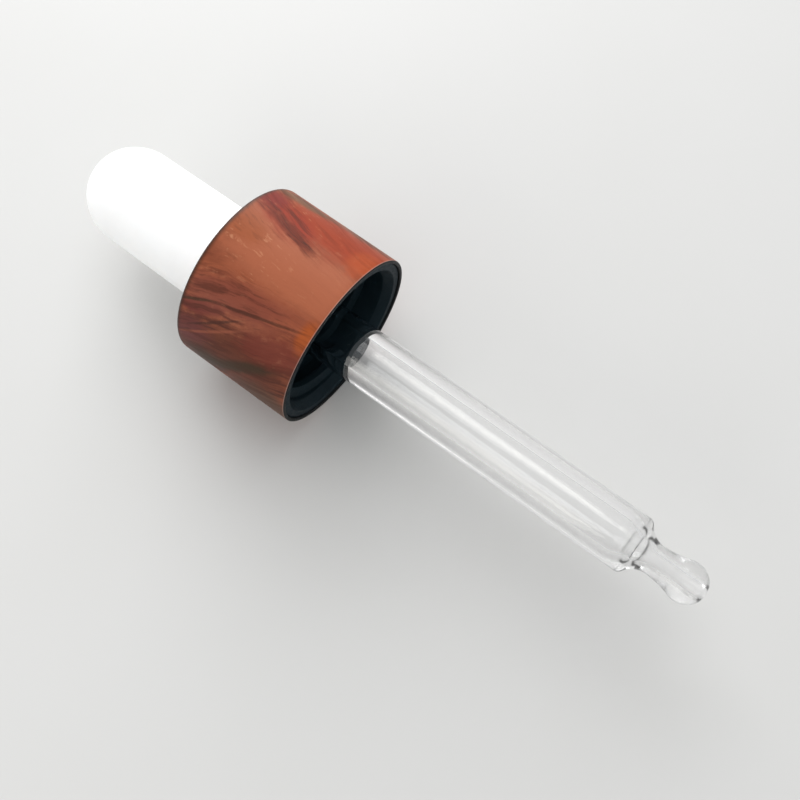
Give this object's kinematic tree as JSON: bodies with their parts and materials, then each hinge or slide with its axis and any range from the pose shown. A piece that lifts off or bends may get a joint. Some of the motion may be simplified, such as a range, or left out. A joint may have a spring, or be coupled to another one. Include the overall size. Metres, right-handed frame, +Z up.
{
  "type": "medicine dropper",
  "caption": "Screw-cap medicine dropper: a domed rubber teat, a wood-grain collar over a black threaded cap, and a glass pipette with a ball tip.",
  "frame": {"origin": "centre of the bounding box at its base: the dropper lies on the side of its collar on z = 0, halfway between the teat's dome and the pipette's tip in x", "axes": "+X along the dropper's axis from the teat to the pipette's tip, +Z up from the surface it lies on, +Y across it"},
  "size_m": [0.087, 0.0224, 0.0225],
  "materials": {
    "wood_grain_print": "satin",
    "black_plastic": "satin",
    "white_rubber": "satin",
    "clear_glass": "polished"
  },
  "bodies": {
    "cap": {"wood_grain_collar": "wood_grain_print", "inner_cap": "black_plastic"},
    "pipette": {"glass_pipette": "clear_glass"},
    "teat": {"teat": "white_rubber"}
  },
  "joints": [
    {"name": "cap_swivel", "type": "hinge", "parent": "cap", "child": "pipette", "pos_m": [-0.01755, 0, 0.01125], "axis": [1, 0, 0], "continuous": true},
    {"name": "teat_press", "type": "slide", "parent": "pipette", "child": "teat", "axis": [1, 0, 0], "range_m": [0, 0.006], "stiffness_N_per_m": 600, "deforming": ["teat"]}
  ]
}
